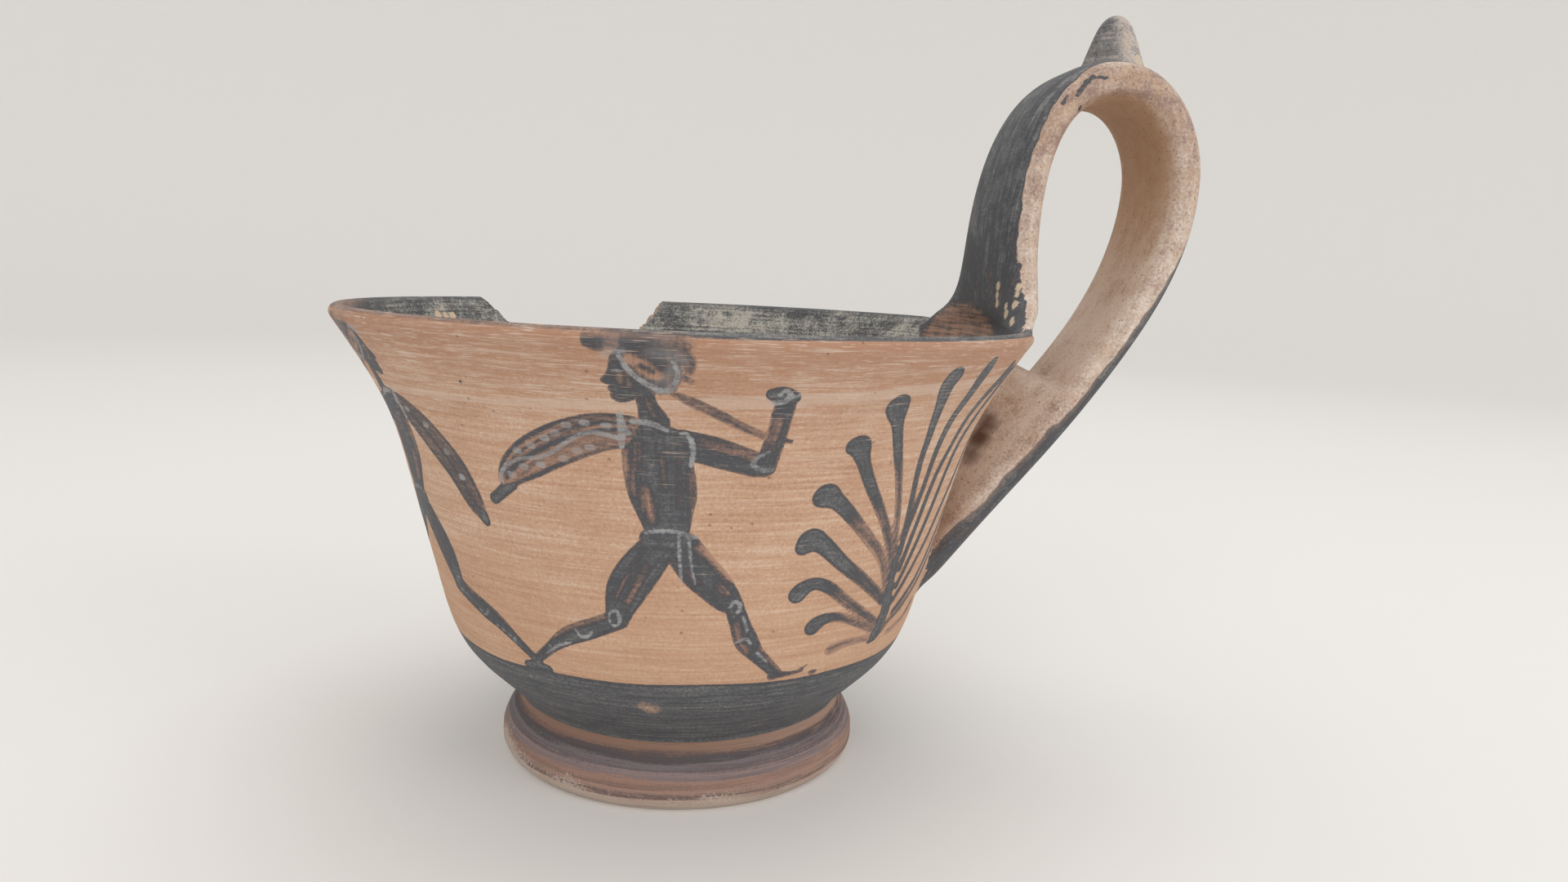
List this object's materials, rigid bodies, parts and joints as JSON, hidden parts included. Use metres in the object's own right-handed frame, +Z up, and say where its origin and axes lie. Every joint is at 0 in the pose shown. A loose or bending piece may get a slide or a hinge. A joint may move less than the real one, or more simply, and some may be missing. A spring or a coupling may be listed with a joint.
{
  "type": "black-figure kyathos",
  "caption": "One-handled ladle cup of fired clay: flaring bowl on a low disc foot, with a high strap handle that loops from the rim to the wall and carries a pointed knob.",
  "frame": {"origin": "middle of the bounding box's underside, on the plane that the foot stands on; the bowl's own axis is 15.0 mm from it, towards -X", "axes": "+X from the bowl's axis towards the handle, +Z up along the bowl's axis"},
  "size_m": [0.145, 0.115, 0.1301],
  "materials": {
    "slipped_clay": "matte"
  },
  "bodies": {
    "root": {"kyathos": "slipped_clay"}
  },
  "joints": []
}
